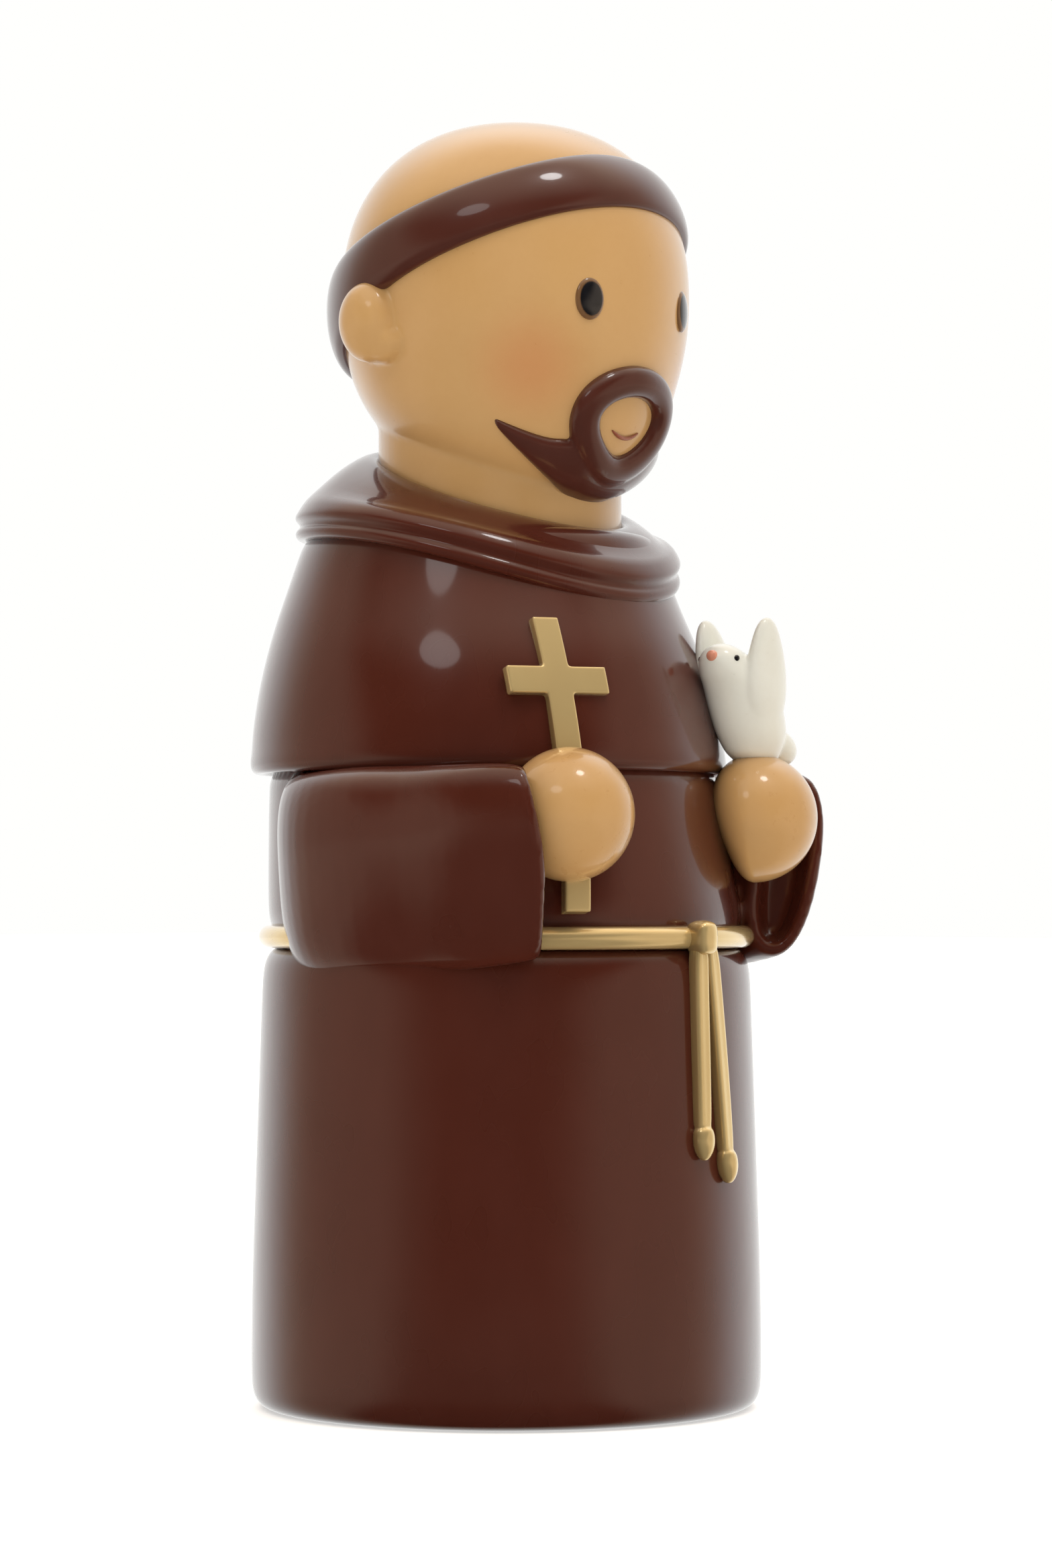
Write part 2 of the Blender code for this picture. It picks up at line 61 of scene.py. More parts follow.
class FigurineSizes(bpy.types.PropertyGroup):
    """Sizes of the casting, as the solid has them."""

    foot_radius: bpy.props.FloatProperty(
        name="Foot radius", description="Radius of the skirt near the floor",
        default=25.85 * MM, unit="LENGTH")
    waist_radius: bpy.props.FloatProperty(
        name="Waist radius", description="Radius of the skirt under the belt",
        default=24.75 * MM, unit="LENGTH")
    skirt_height: bpy.props.FloatProperty(
        name="Skirt height", description="Floor to the soft step under the belt",
        default=46.4 * MM, unit="LENGTH")
    torso_radius: bpy.props.FloatProperty(
        name="Torso radius", description="Radius of the body just above the belt",
        default=24.0 * MM, unit="LENGTH")
    torso_top: bpy.props.FloatProperty(
        name="Torso top radius", description="Radius of the body under the cape",
        default=22.8 * MM, unit="LENGTH")
    torso_back: bpy.props.FloatProperty(
        name="Torso lean", description="How far the top of the body stands back",
        default=1.9 * MM, unit="LENGTH")
    hem_level: bpy.props.FloatProperty(
        name="Hem level", description="Floor to the cape's hem", default=63.9 * MM, unit="LENGTH")
    hem_radius: bpy.props.FloatProperty(
        name="Hem radius", description="Radius of the cape at its hem", default=24.1 * MM, unit="LENGTH")
    cape_top: bpy.props.FloatProperty(
        name="Cape top", description="Floor to the cape's upper edge", default=87.5 * MM, unit="LENGTH")
    cape_top_radius: bpy.props.FloatProperty(
        name="Cape top radius", description="Radius of the cape under the collar",
        default=18.6 * MM, unit="LENGTH")
    collar_radius: bpy.props.FloatProperty(
        name="Collar radius", description="Radius of the collar's lip", default=19.6 * MM, unit="LENGTH")
    neck_radius: bpy.props.FloatProperty(
        name="Neck radius", description="Radius of the neck", default=12.4 * MM, unit="LENGTH")
    chin_level: bpy.props.FloatProperty(
        name="Chin level", description="Floor to the bottom of the head", default=90.7 * MM, unit="LENGTH")
    head_height: bpy.props.FloatProperty(
        name="Head height", description="Chin to crown", default=39.4 * MM, unit="LENGTH")
    head_radius: bpy.props.FloatProperty(
        name="Head radius", description="Widest radius of the head", default=17.75 * MM, unit="LENGTH")
    hand_radius: bpy.props.FloatProperty(
        name="Hand radius", description="Radius of each round hand", default=6.4 * MM, unit="LENGTH")
    cord_radius: bpy.props.FloatProperty(
        name="Cord radius", description="Radius of the moulded belt", default=1.15 * MM, unit="LENGTH")
    cross_height: bpy.props.FloatProperty(
        name="Cross height", description="Length of the cross, with the part in the fist",
        default=28.8 * MM, unit="LENGTH")
    cross_span: bpy.props.FloatProperty(
        name="Cross span", description="Width over the arms of the cross", default=10.6 * MM, unit="LENGTH")
    dove_height: bpy.props.FloatProperty(
        name="Dove height", description="Height of the dove's body", default=12.0 * MM, unit="LENGTH")


class FigurineColours(bpy.types.PropertyGroup):
    """Colours of the enamel, as linear light."""

    habit: bpy.props.FloatVectorProperty(
        name="Habit", description="Brown enamel of the habit", subtype="COLOR",
        default=(0.086, 0.019, 0.0108))
    hair: bpy.props.FloatVectorProperty(
        name="Hair", description="Brown of hair and beard", subtype="COLOR",
        default=(0.086, 0.0235, 0.0155))
    skin: bpy.props.FloatVectorProperty(
        name="Skin", description="Flesh enamel", subtype="COLOR", default=(0.665, 0.4, 0.162))
    blush: bpy.props.FloatVectorProperty(
        name="Blush", description="Colour sprayed on the cheeks", subtype="COLOR",
        default=(0.68, 0.24, 0.085))
    lips: bpy.props.FloatVectorProperty(
        name="Lips", description="Line of the smile", subtype="COLOR", default=(0.33, 0.1, 0.055))
    gold: bpy.props.FloatVectorProperty(
        name="Gold", description="Gold paint of belt and cross", subtype="COLOR",
        default=(0.93, 0.71, 0.335))
    dove: bpy.props.FloatVectorProperty(
        name="Dove", description="White of the dove", subtype="COLOR", default=(0.89, 0.91, 0.84))
    beak: bpy.props.FloatVectorProperty(
        name="Beak", description="Pink of the dove's beak", subtype="COLOR", default=(0.78, 0.33, 0.22))
    eye: bpy.props.FloatVectorProperty(
        name="Eye", description="Black of the eyes", subtype="COLOR", default=(0.008, 0.008, 0.01))
    eye_rim: bpy.props.FloatVectorProperty(
        name="Eye rim", description="Thin brown line round each eye", subtype="COLOR",
        default=(0.2, 0.1, 0.04))
    floor: bpy.props.FloatVectorProperty(
        name="Floor", description="Pale floor", subtype="COLOR", default=(0.95, 0.95, 0.94))


def place(side, front, up):
    """A point by its distance to the figure's left, to its front and above the floor."""
    return Vector((side, -front, up))


def between(a, b, share):
    return a + (b - a) * share


def run_through(stations, steps):
    """A smooth run of rows through all the stations, so many steps from each to the next."""
    rows = []
    for i in range(len(stations) - 1):
        last = len(stations) - 1
        around = [stations[max(i - 1, 0)], stations[i], stations[i + 1], stations[min(i + 2, last)]]
        for step in range(steps):
            t = step / steps
            row = []
            for a, b, c, d in zip(*around):
                row.append(b + t * (c - a + t * (2 * a - 5 * b + 4 * c - d + t * (3 * (b - c) + d - a))) / 2)
            rows.append(row)
    return rows + [list(stations[-1])]


def soft_step(share):
    share = min(max(share, 0), 1)
    return share * share * (3 - 2 * share)


def full_turn(steps):
    """The angles of so many equal steps round a full turn."""
    return [2 * pi * step / steps for step in range(steps)]


# Making


def deselect_all():
    if bpy.context.mode != "OBJECT":
        bpy.ops.object.mode_set(mode="OBJECT")
    bpy.ops.object.select_all(action="DESELECT")


def choose(*pieces):
    """Selects these pieces only, with the first one active."""
    deselect_all()
    for piece in pieces:
        piece.select_set(True)
    bpy.context.view_layer.objects.active = pieces[0]


def apply_modifier(piece, kind, **settings):
    choose(piece)
    modifier = piece.modifiers.new(kind.title(), kind)
    for name, value in settings.items():
        setattr(modifier, name, value)
    bpy.ops.object.modifier_apply(modifier=modifier.name)


def subdivide(piece, levels):
    apply_modifier(piece, "SUBSURF", levels=levels, render_levels=levels)


def face_outwards():
    """Turns all faces of the mesh in edit mode outwards, and leaves edit mode."""
    bpy.ops.mesh.select_all(action="SELECT")
    bpy.ops.mesh.normals_make_consistent(inside=False)
    bpy.ops.object.mode_set(mode="OBJECT")


def raise_solid(name, rings):
    """Extrudes a filled circle through the rings, which leaves it closed at both ends."""
    deselect_all()
    bpy.ops.mesh.primitive_circle_add(vertices=len(rings[0]), radius=MM, fill_type="NGON")
    solid = bpy.context.active_object
    solid.name = name
    order = solid.data.attributes.new("order", "INT", "POINT")
    for i, item in enumerate(order.data):
        item.value = i
    bpy.ops.object.mode_set(mode="EDIT")
    bpy.ops.mesh.select_all(action="SELECT")
    for step, ring in enumerate(rings):
        if step:
            bpy.ops.mesh.extrude_region_move()
        shape = bmesh.from_edit_mesh(solid.data)
        layer = shape.verts.layers.int["order"]
        for vert in shape.verts:
            if vert.select:
                vert.co = ring[vert[layer]]
        bmesh.update_edit_mesh(solid.data)
    face_outwards()
    solid.data.attributes.remove(solid.data.attributes["order"])
    return solid


def wrap_band(name, sections):
    """Bends a torus to a closed row of sections that all have as many points."""
    deselect_all()
    bpy.ops.mesh.primitive_torus_add(major_segments=len(sections), minor_segments=len(sections[0]))
    band = bpy.context.active_object
    band.name = name
    points = [point for section in sections for point in section]
    for vert, point in zip(band.data.vertices, points):
        vert.co = point
    bpy.ops.object.mode_set(mode="EDIT")
    face_outwards()
    return band


def add_ball(name, centre, size, turn=(0, 0, 0), across=32, rows=20):
    """A ball with its place, half sizes and turn in its mesh."""
    deselect_all()
    bpy.ops.mesh.primitive_uv_sphere_add(
        segments=across, ring_count=rows, radius=1, location=centre, rotation=turn, scale=size)
    piece = bpy.context.active_object
    piece.name = name
    bpy.ops.object.transform_apply(location=True, rotation=True, scale=True)
    return piece


def melt(name, pieces, voxel, rounds):
    """Joins overlapping pieces into one skin with small fillets, as thick lacquer leaves them."""
    choose(*pieces)
    if len(pieces) > 1:
        bpy.ops.object.join()
    whole = bpy.context.active_object
    whole.name = name
    apply_modifier(whole, "REMESH", mode="VOXEL", voxel_size=voxel, use_smooth_shade=True)
    apply_modifier(whole, "SMOOTH", factor=0.5, iterations=rounds)
    return whole


def finish(piece, material, levels=0):
    """Smooths a piece, paints it and ties it to the casting's body."""
    if levels:
        subdivide(piece, levels)
    choose(piece)
    bpy.ops.object.transform_apply(location=True, rotation=True, scale=True)
    bpy.ops.object.shade_smooth()
    piece.data.materials.clear()
    piece.data.materials.append(material)
    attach(piece, BODY)
    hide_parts(NODE)


# Shapes that several pieces share


def level_ring(radius, front, up, around):
    return [place(radius * sin(turn), front + radius * cos(turn), up) for turn in full_turn(around)]


def rounded(angle, wide, deep, power):
    """A point of an oval that gets squarer as its power drops under 1."""
    c, s = cos(angle), sin(angle)
    return wide * abs(c) ** power * (1 if c > 0 else -1), deep * abs(s) ** power * (1 if s > 0 else -1)


def head_size(sizes, up):
    """Radius of the head and the place of its middle to the front, at a height above the chin."""
    widest = 0.543 * sizes.head_height
    if up > widest:
        share, power = (up - widest) / (sizes.head_height - widest), 2.3
    else:
        share, power = (widest - up) / widest, 2.1
    radius = sizes.head_radius * max(1 - min(share, 1) ** power, 0) ** (1 / power)
    jaw = max(1 - up / (0.34 * sizes.head_height), 0)
    return radius, (1.2 + 4.0 * jaw ** 1.6) * MM


def on_head(sizes, turn, share, proud=0.0):
    """A point of the head: its turn from the front, its share of the head's height, and how proud it is."""
    up = share * sizes.head_height
    radius, front = head_size(sizes, up)
    fine = 0.2 * MM
    slope = (head_size(sizes, up + fine)[0] - head_size(sizes, up - fine)[0]) / (2 * fine)
    size = sqrt(1 + slope * slope)
    radius += proud / size
    return place(radius * sin(turn), front + radius * cos(turn), sizes.chin_level + up - proud * slope / size)


def pad_section(sizes, turn, lower, upper, proud, rows=10):
    """A raised, rounded section on the head between two levels, with its back sunk in the head."""
    section = []
    for row in range(rows + 1):
        angle = pi * row / rows
        share = between(lower, upper, (1 - cos(angle)) / 2)
        section.append(on_head(sizes, turn, share, (proud + 0.1 * MM) * sin(angle) ** 0.55 - 0.28 * MM))
    for share in (0.8, 0.5, 0.2):
        section.append(on_head(sizes, turn, between(lower, upper, share), -1.6 * MM))
    return section


def sleeve_ring(side, turn, reach, half_wide, half_high, level, slant, around=64):
    """An upright ring across a sleeve, its turn in degrees from the front, its top leaning out and back."""
    front = min(max((115 - turn) / 50, 0), 1)
    lean, power = radians(between(3, 10, front)), between(0.64, 0.85, front)
    ring = []
    for step in full_turn(around):
        out, rise = rounded(step, half_wide, half_high, power)
        distance = reach + out * cos(lean) + rise * sin(lean)
        up = level + rise * cos(lean) - out * sin(lean)
        angle = radians(turn + slant * (max(rise, 0) / half_high) ** 1.4)
        ring.append(place(side * distance * sin(angle), distance * cos(angle), up))
    return ring


def skirt_radius(sizes, up):
    share = min(max(up / sizes.skirt_height - 0.24, 0) / 0.7, 1)
    return between(sizes.foot_radius, sizes.waist_radius, share)


# Finishes


class Value:
    """A number that varies over a surface, so that a pattern's maths reads as plain arithmetic."""

    def __init__(self, nodes, socket):
        self.nodes = nodes
        self.socket = socket

    def _with(self, operation, first, second=0.0):
        node = self.nodes.node("ShaderNodeMath", {"operation": operation}, {0: first, 1: second})
        return Value(self.nodes, node.outputs[0])

    def __add__(self, other):
        return self._with("ADD", self, other)

    def __radd__(self, other):
        return self._with("ADD", other, self)

    def __sub__(self, other):
        return self._with("SUBTRACT", self, other)

    def __rsub__(self, other):
        return self._with("SUBTRACT", other, self)

    def __mul__(self, other):
        return self._with("MULTIPLY", self, other)

    def __rmul__(self, other):
        return self._with("MULTIPLY", other, self)

    def __truediv__(self, other):
        return self._with("DIVIDE", self, other)

    def __pow__(self, other):
        return self._with("POWER", self, other)

    def __abs__(self):
        return self._with("ABSOLUTE", self)

    def ramp(self, low, high):
        """0 below low, 1 above high, smooth between."""
        node = self.nodes.node("ShaderNodeMapRange", {"interpolation_type": "SMOOTHSTEP"},
                               {"Value": self, "From Min": low, "From Max": high})
        return Value(self.nodes, node.outputs[0])


class Nodes:
    """The nodes of a material or of the world."""

    def __init__(self, tree):
        self.tree = tree

    def node(self, kind, settings=None, sockets=None):
        """Adds a node, with its settings first and then its sockets' values or links."""
        node = self.tree.nodes.new(kind)
        for name, value in (settings or {}).items():
            setattr(node, name, value)
        for name, value in (sockets or {}).items():
            if isinstance(value, Value):
                value = value.socket
            if isinstance(value, bpy.types.NodeSocket):
                self.tree.links.new(value, node.inputs[name])
            else:
                node.inputs[name].default_value = value
        return node

    def facing(self, way, axis):
        """1 where a direction points along the axis, 0 across it, -1 against it."""
        node = self.node("ShaderNodeVectorMath", {"operation": "DOT_PRODUCT"}, {0: way, 1: axis})
        return Value(self, node.outputs["Value"])

    def mix(self, share, first, second):
        """A colour between two colours."""
        sockets = {0: share}
        for index, colour in ((6, first), (7, second)):
            sockets[index] = colour if isinstance(colour, bpy.types.NodeSocket) else (*colour, 1.0)
        node = self.node("ShaderNodeMix", {"data_type": "RGBA"}, sockets)
        return node.outputs[2]


class Finish(Nodes):
    """One painted finish and the nodes of its material."""

    def __init__(self, name, **constants):
        self.material = bpy.data.materials.new(name)
        self.material.use_nodes = True
        super().__init__(self.material.node_tree)
        self.shader = self.tree.nodes["Principled BSDF"]
        for socket, value in constants.items():
            self.shader.inputs[socket.replace("_", " ")].default_value = value
        self.place = self.node("ShaderNodeTexCoord").outputs["Object"]

    def noise(self, scale, detail=2.0, roughness=0.5, stretch=None):
        """Cloudy noise from about -1 to 1, so many blotches to a metre."""
        vector = self.place
        if stretch:
            vector = self.node("ShaderNodeMapping", None, {"Vector": vector, "Scale": stretch}).outputs[0]
        node = self.node("ShaderNodeTexNoise", None, {"Vector": vector, "Scale": scale, "Detail": detail,
                                                      "Roughness": roughness})
        return (Value(self, node.outputs["Fac"]) - 0.5) * 3.0

    def split(self, vector):
        node = self.node("ShaderNodeSeparateXYZ", None, {"Vector": vector})
        return [Value(self, node.outputs[i]) for i in range(3)]

    def axes(self):
        return self.split(self.place)

    def tilt(self):
        """The way the surface faces, as three numbers, from the piece's own facing attribute."""
        return self.split(self.node("ShaderNodeAttribute", {"attribute_name": "facing"}).outputs["Vector"])

    def set(self, socket, value):
        if isinstance(value, Value):
            value = value.socket
        self.tree.links.new(value, self.shader.inputs[socket])

    def bump(self, height, distance):
        node = self.node("ShaderNodeBump", None, {"Height": height, "Distance": distance, "Strength": 1.0})
        self.set("Normal", node.outputs["Normal"])


def shade(colour, factor, warm=0.0):
    """A colour made darker or lighter, and a little warmer or cooler."""
    red, green, blue = colour
    return (red * factor * (1 + warm), green * factor, blue * factor * (1 - warm))


def enamel(name, colour, roughness=0.26, drift=0.12, streak=(1, 1, 0.35)):
    """Hand-brushed enamel under clear lacquer: slow drifts of tone, faint brush streaks, soft unevenness."""
    paint = Finish(name, Specular_IOR_Level=0.25, Coat_Weight=0.9, Coat_Roughness=0.07)
    clouds = paint.noise(70, 3)
    strokes = paint.noise(300, 1, 0.5, streak)
    tone = (clouds * 0.7 + strokes * 0.3).ramp(-1.0, 1.0)
    paint.set("Base Color", paint.mix(tone, shade(colour, 1 - drift, 0.06), shade(colour, 1 + drift, -0.03)))
    paint.set("Roughness", tone * 0.08 + roughness)
    paint.bump(clouds * 2.0 + strokes * 0.03, 0.03 * MM)
    return paint


def habit_brown(colours):
    return enamel("habit_enamel", colours.habit, 0.24, 0.14).material


def hair_brown(colours):
    return enamel("hair_enamel", colours.hair, 0.28, 0.16, (1, 1, 0.2)).material


def flesh(colours, sizes):
    """Flesh enamel, with a sprayed blush on each cheek that fades out on all sides."""
    paint = Finish("flesh_enamel", Specular_IOR_Level=0.3, Coat_Weight=0.85, Coat_Roughness=0.09)
    clouds = paint.noise(60, 3)
    grain = paint.noise(900, 4, 0.65)
    tone = (clouds * 0.75 + grain * 0.25).ramp(-1.0, 1.0)
    skin = paint.mix(tone, shade(colours.skin, 0.93, 0.03), shade(colours.skin, 1.06, -0.02))
    side, depth, up = paint.axes()
    cheek = on_head(sizes, radians(43), 0.33)
    distance = ((abs(side) - cheek.x) ** 2.0 + (depth - cheek.y) ** 2.0 + (up - cheek.z) ** 2.0) ** 0.5
    blush = (1 - distance.ramp(0.2 * MM, 7.5 * MM)) * 0.42
    paint.set("Base Color", paint.mix(blush, skin, colours.blush))
    paint.set("Roughness", grain * 0.04 + clouds * 0.03 + 0.3)
    paint.bump(clouds * 0.8 + grain * 0.05, 0.03 * MM)
    return paint.material


def gold_paint(colours):
    """Satin gold paint: faint brush lines, browner where it is thin, and painted shade on edges that turn
    away and on faces that don't look up.
    """
    paint = Finish("gold_paint", Coat_Weight=0.9, Coat_Roughness=0.09)
    strokes = paint.noise(240, 1, 0.5, (1, 1, 0.4))
    thin = paint.noise(110, 1).ramp(-0.2, 1.0)
    tone = strokes.ramp(-1.4, 1.4)
    metal = paint.mix(tone, shade(colours.gold, 0.95, 0.01), shade(colours.gold, 1.04, -0.01))
    metal = paint.mix(thin * 0.25, metal, shade(colours.gold, 0.8, 0.06))
    side, depth, _ = paint.axes()
    tilt_side, tilt_depth, tilt_up = paint.tilt()
    out = (side * tilt_side + depth * tilt_depth) * (side ** 2.0 + depth ** 2.0) ** -0.5
    # Painted shade: dark brown where the surface turns to the side or down, lighter where it faces up.
    painted_side_shade = (1 - out.ramp(0.05, 0.75)) * (1 - tilt_up.ramp(0.0, 0.7) * 0.9)
    paint.set("Base Color", paint.mix(painted_side_shade * 0.75, metal, shade(colours.gold, 0.34, 0.16)))
    paint.set("Metallic", 0.58 - thin * 0.06)
    paint.set("Roughness", tone * 0.04 + 0.2)
    paint.bump(strokes, 0.003 * MM)
    return paint.material


def dove_white(colours, middle):
    """Off-white enamel, with painted shade that makes it a little darker and warmer low on the breast."""
    paint = Finish("dove_enamel", IOR=1.5, Coat_Weight=0.8, Coat_Roughness=0.1)
    clouds = paint.noise(160, 3)
    grain = paint.noise(1400, 3)
    # Painted shade: this mask darkens and warms the lower breast.
    low = 1 - paint.axes()[2].ramp(middle.z - 6 * MM, middle.z + 4 * MM)
    tone = (clouds * 0.7 + grain * 0.3).ramp(-1.0, 1.0)
    white = paint.mix(tone, shade(colours.dove, 0.96, 0.01), shade(colours.dove, 1.03, -0.01))
    paint.set("Base Color", paint.mix(low * 0.35, white, shade(colours.dove, 0.93, 0.04)))
    paint.set("Roughness", grain * 0.04 + 0.3)
    paint.bump(clouds * 0.5 + grain * 0.08, 0.025 * MM)
    return paint.material


def dab(name, colour):
    """A small dab of glossy paint, uneven as a brush leaves it."""
    paint = Finish(name, IOR=1.5, Coat_Weight=0.9, Coat_Roughness=0.06)
    blot = paint.noise(1600, 2)
    paint.set("Base Color", paint.mix(blot.ramp(-1.0, 1.0), shade(colour, 0.88), shade(colour, 1.12)))
    paint.set("Roughness", blot * 0.04 + 0.22)
    paint.bump(blot, 0.01 * MM)
    return paint.material


def eye_paint(colours, centre, wide, high):
    """Black paint with a thin brown line round it, the same on both sides of the face."""
    paint = Finish("eye_paint", IOR=1.5, Coat_Weight=1.0, Coat_Roughness=0.03)
    side, _, up = paint.axes()
    across = (abs(side) - abs(centre.x)) / wide
    along = (up - centre.z) / high
    rim = ((across ** 2.0 + along ** 2.0) ** 0.5).ramp(0.76, 0.86)
    blot = paint.noise(1500, 2).ramp(-1.0, 1.0)
    black = paint.mix(blot, colours.eye, shade(colours.eye, 1.6))
    paint.set("Base Color", paint.mix(rim, black, colours.eye_rim))
    paint.set("Roughness", rim * 0.15 + 0.12)
    return paint.material


def get_finish(name, maker, *parts):
    """The finish of this name, made when it is first asked for."""
    return bpy.data.materials.get(name) or maker(*parts)


# Pieces


class FigurineOperator:
    """What every piece's operator shares."""

    bl_options = {"REGISTER", "UNDO"}

    @property
    def sizes(self):
        return bpy.context.scene.figurine_sizes

    @property
    def colours(self):
        return bpy.context.scene.figurine_colours

    def paint_habit(self, piece, levels=0):
        finish(piece, get_finish("habit_enamel", habit_brown, self.colours), levels)

    def paint_hair(self, piece, levels=0):
        finish(piece, get_finish("hair_enamel", hair_brown, self.colours), levels)

    def paint_skin(self, piece, levels=0):
        finish(piece, get_finish("flesh_enamel", flesh, self.colours, self.sizes), levels)

    def gild(self, piece, levels=0):
        """Paints a piece gold and keeps the way each point faces, for the gold's painted shade on turned
        edges.
        """
        finish(piece, get_finish("gold_paint", gold_paint, self.colours), levels)
        facing = piece.data.attributes.new("facing", "FLOAT_VECTOR", "POINT")
        for item, vert in zip(facing.data, piece.data.vertices):
            item.vector = vert.normal


class FIGURINE_OT_skirt(FigurineOperator, bpy.types.Operator):
    """Skirt of the habit, from the rounded foot to the soft step under the belt."""

    bl_idname = "figurine.skirt"
    bl_label = "Skirt"

    def execute(self, context):
        sizes = self.sizes
        foot, waist, high = sizes.foot_radius, sizes.waist_radius, sizes.skirt_height
        stations = [(foot - 6 * MM, 0), (foot - 2.6 * MM, 0), (foot - 1.4 * MM, 0.12 * MM),
                    (foot - 0.55 * MM, 0.7 * MM), (foot - 0.12 * MM, 1.7 * MM), (foot, 3.2 * MM)]
        for share in (0.16, 0.3, 0.45, 0.6, 0.75, 0.88):
            stations.append((skirt_radius(sizes, high * share), high * share))
        stations += [(waist, high - 3 * MM), (waist - 0.2 * MM, high - 1.5 * MM),
                     (waist - 0.7 * MM, high - 0.4 * MM), (waist - 1.5 * MM, high + 0.2 * MM),
                     (waist - 3.5 * MM, high + 0.4 * MM)]
        rings = [level_ring(radius, 0, up, 96) for radius, up in stations]
        self.paint_habit(raise_solid("skirt", rings), 2)
        return {"FINISHED"}


class FIGURINE_OT_bodice(FigurineOperator, bpy.types.Operator):
    """Body of the habit above the belt, with both bell sleeves run softly into it."""

    bl_idname = "figurine.bodice"
    bl_label = "Bodice and Sleeves"

    # Each station: degrees from the front, outer reach, half width, half height, middle's rise, top's slant
    stations = ((119, 23.2, 2.7, 7.6, 0.2, 0.0), (112, 25.2, 3.95, 9.7, -0.6, 0.0),
                (101, 26.7, 4.5, 10.3, -1.1, 0.0), (86, 27.4, 4.65, 10.25, -0.75, 0.0),
                (70, 27.9, 4.85, 10.2, -0.65, 1.0), (56, 29.9, 4.45, 10.0, -0.4, 2.6),
                (47, 31.2, 3.95, 9.75, -0.1, 3.2), (42.8, 31.9, 3.72, 9.5, 0.0, 3.2))
    # The cuff's opening: degrees from the front, reach of its middle, half width, half height, top's slant
    cuff = (41, 28.3, 3.7, 9.45, 3.2)
    # Each step of the cuff's rim: inset, degrees back from the opening
    rim = ((0.02, 1.5), (0.2, 0.55), (0.6, 0.08), (1.0, 0.05), (1.3, 0.6), (1.55, 1.8), (1.8, 3.4),
           (2.4, 6.0))

    def execute(self, context):
        sizes = self.sizes
        low = sizes.skirt_height
        bottom, top, lean_top = sizes.torso_radius, sizes.torso_top, sizes.torso_back
        middle = between(bottom, top, 0.4)
        stations = [(bottom - 3 * MM, low + 0.3 * MM, 0), (bottom - 0.7 * MM, low + 0.9 * MM, 0),
                    (bottom - 0.1 * MM, low + 2.4 * MM, 0.1 * lean_top),
                    (bottom, low + 4.2 * MM, 0.17 * lean_top),
                    (middle, low + 9.5 * MM, 0.5 * lean_top), (top, sizes.hem_level, lean_top),
                    (top - 0.5 * MM, sizes.hem_level + 3 * MM, lean_top)]
        parts = [raise_solid("torso", [level_ring(radius, -lean, up, 96) for radius, up, lean in stations])]
        sleeve_drop = 9.07 * MM
        level = sizes.hem_level - sleeve_drop
        cuff_turn, cuff_reach, cuff_wide, cuff_high, cuff_slant = self.cuff
        for side in (-1, 1):
            rings = []
            for turn, reach, wide, high, rise, slant in run_through(self.stations, 4)[:-1]:
                inner, centre = (reach - wide) * MM, level + rise * MM
                rings.append(sleeve_ring(side, turn, inner, wide * MM, high * MM, centre, slant))
            for inset, back in self.rim:
                wide, high = (cuff_wide - inset) * MM, (cuff_high - inset) * MM
                turn = cuff_turn + back
                rings.append(sleeve_ring(side, turn, cuff_reach * MM, wide, high, level, cuff_slant))
            parts.append(raise_solid("sleeve", rings))
        subdivide(parts[0], 1)
        bodice = melt("bodice", parts, 0.34 * MM, 9)
        self.paint_habit(bodice)
        return {"FINISHED"}


class FIGURINE_OT_cape(FigurineOperator, bpy.types.Operator):
    """Short cape over the shoulders, with a soft rolled hem."""

    bl_idname = "figurine.cape"
    bl_label = "Cape"

    def execute(self, context):
        sizes = self.sizes
        hem, top, high = sizes.hem_radius, sizes.cape_top_radius, sizes.cape_top - sizes.hem_level
        back = 2.5 * MM
        low = sizes.hem_level
        lip = [(-4.0, 1.6), (-2.2, 0.9), (-1.25, 0.25), (-0.75, 0.05), (-0.25, 0.15), (0.05, 0.5),
               (0.16, 1.0), (0.15, 1.6), (0.02, 2.4)]
        rings = [level_ring(hem + out * MM, -back, low + up * MM, 96) for out, up in lip]
        for step in range(2, 13):
            share = step / 12
            shoulder = soft_step((share - 0.42) / 0.42)
            radius = between(hem, top, share ** 1.35) + (0.42 * sin(pi * share ** 0.7) - 0.5 * shoulder) * MM
            lean = between(back, 3.2 * MM, min(share * 1.5, 1)) + 0.4 * MM * shoulder
            rings.append(level_ring(radius, -lean, low + share * high, 96))
        rings.append(level_ring(top - 1.2 * MM, -3.6 * MM, low + high + 0.6 * MM, 96))
        rings.append(level_ring(top - 2.6 * MM, -3.6 * MM, low + high + 1.1 * MM, 96))
        cape = raise_solid("cape", rings)
        self.paint_habit(cape, 2)
        return {"FINISHED"}


